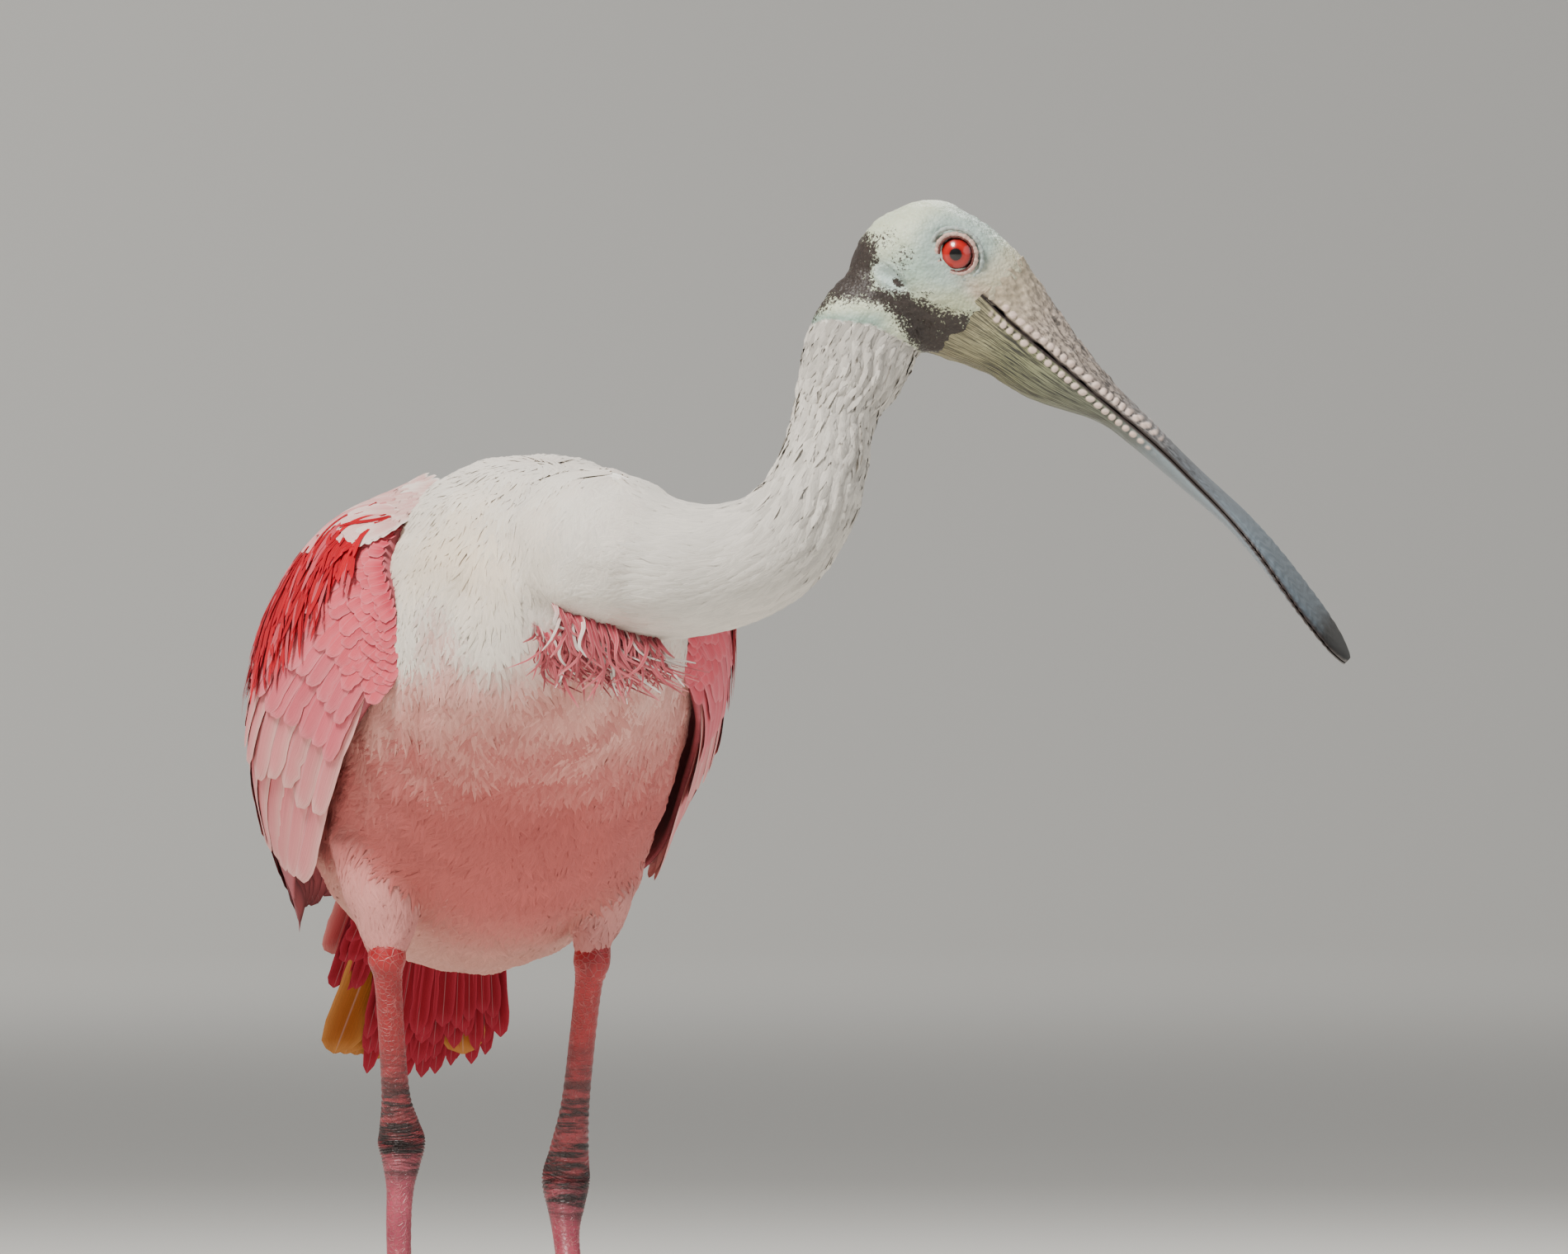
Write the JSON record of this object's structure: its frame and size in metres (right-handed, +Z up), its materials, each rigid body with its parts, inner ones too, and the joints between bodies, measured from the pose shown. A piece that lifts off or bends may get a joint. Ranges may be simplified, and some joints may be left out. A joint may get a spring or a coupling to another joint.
{
  "type": "roseate spoonbill",
  "caption": "Standing pink wading bird with folded wings, a curved neck turned to its left and a long flat spoon-ended bill, resting on both feet.",
  "frame": {"origin": "centre of the outline's bounding box at floor level", "axes": "+Z up; the breast faces -Y; the bird's left side is +X"},
  "size_m": [0.3414, 0.376, 0.4241],
  "materials": {
    "plumage_white": "soft feathers, matt",
    "plumage_pink": "stiff feathers, matt",
    "plumage_tail": "stiff feathers, matt",
    "head_skin": "bare wrinkled skin",
    "bill": "horn, satin",
    "bill_under": "horn and bare skin, satin",
    "eye": "wet and glossy",
    "leg_skin": "scaled skin"
  },
  "bodies": {
    "root": {"torso": "plumage_white", "neck_lower": "plumage_white", "neck_upper": "plumage_white", "head": "head_skin", "bill_upper": "bill", "bill_lower": "bill_under", "eye_right": "eye", "eye_left": "eye", "wing_right": "plumage_pink", "wing_left": "plumage_pink", "tail": "plumage_tail", "thigh_right": "plumage_white", "thigh_left": "plumage_white", "tibia_right": "leg_skin", "tibia_left": "leg_skin", "tarsus_right": "leg_skin", "tarsus_left": "leg_skin", "foot_right": "leg_skin", "foot_left": "leg_skin"}
  },
  "joints": []
}
